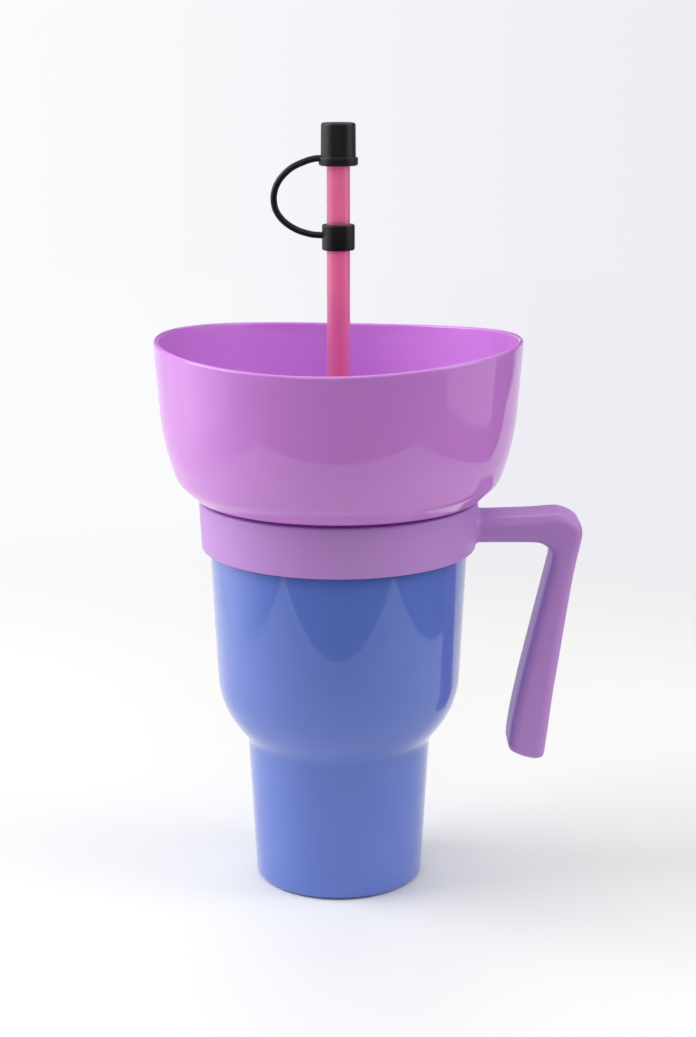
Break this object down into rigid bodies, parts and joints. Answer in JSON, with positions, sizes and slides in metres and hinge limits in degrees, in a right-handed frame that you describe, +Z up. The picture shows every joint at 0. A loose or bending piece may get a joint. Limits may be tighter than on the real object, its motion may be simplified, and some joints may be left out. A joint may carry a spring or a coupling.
{
  "type": "snack bowl tumbler",
  "caption": "Stepped drinking cup closed by a wide snack bowl with a saddle-shaped rim, with a centre straw, a tethered straw cap and a handle on a ring that turns round the neck.",
  "frame": {"origin": "centre of the flat base, on the cup's axis", "axes": "+Z up along the cup's axis, +X towards the handle at rest, -Y towards the viewer"},
  "size_m": [0.1867, 0.1592, 0.3362],
  "materials": {
    "cup_paint": "glossy paint with fine orange peel",
    "steel": "spun and brushed",
    "handle_plastic": "satin moulded",
    "bowl_plastic": "high gloss moulded",
    "straw_plastic": "slightly translucent, satin",
    "cap_silicone": "matt moulded silicone",
    "seal_silicone": "matt moulded silicone"
  },
  "bodies": {
    "cup": {"cup_outer_shell": "cup_paint", "cup_inner_liner": "steel", "cup_base_plate": "cup_paint"},
    "handle": {"handle_ring": "handle_plastic"},
    "gasket": {"bowl_gasket": "seal_silicone"},
    "bowl": {"snack_bowl": "bowl_plastic"},
    "grommet": {"straw_grommet": "seal_silicone"},
    "straw": {"straw": "straw_plastic"},
    "collar": {"tether_collar": "cap_silicone", "cap_tether": "cap_silicone"},
    "cap": {"straw_cap": "cap_silicone"}
  },
  "joints": [
    {"name": "handle_swivel", "type": "hinge", "parent": "cup", "child": "handle", "pos_m": [0, 0, 0.1642], "axis": [0, 0, 1], "continuous": true},
    {"name": "bowl_lift", "type": "slide", "parent": "cup", "child": "gasket", "axis": [0, 0, 1], "range_m": [0, 0.18]},
    {"name": "bowl_turn", "type": "hinge", "parent": "gasket", "child": "bowl", "pos_m": [0, 0, 0.1762], "axis": [0, 0, 1], "continuous": true},
    {"name": "grommet_turn", "type": "hinge", "parent": "bowl", "child": "grommet", "pos_m": [0, 0, 0.2042], "axis": [0, 0, 1], "continuous": true},
    {"name": "straw_pull", "type": "slide", "parent": "grommet", "child": "straw", "axis": [0, 0, 1], "range_m": [0, 0.2]},
    {"name": "collar_turn", "type": "hinge", "parent": "straw", "child": "collar", "pos_m": [0, 0, 0.2882], "axis": [0, 0, 1], "continuous": true},
    {"name": "cap_pull", "type": "slide", "parent": "collar", "child": "cap", "axis": [0, 0, 1], "range_m": [0, 0.026], "deforming": ["cap_tether"]}
  ]
}
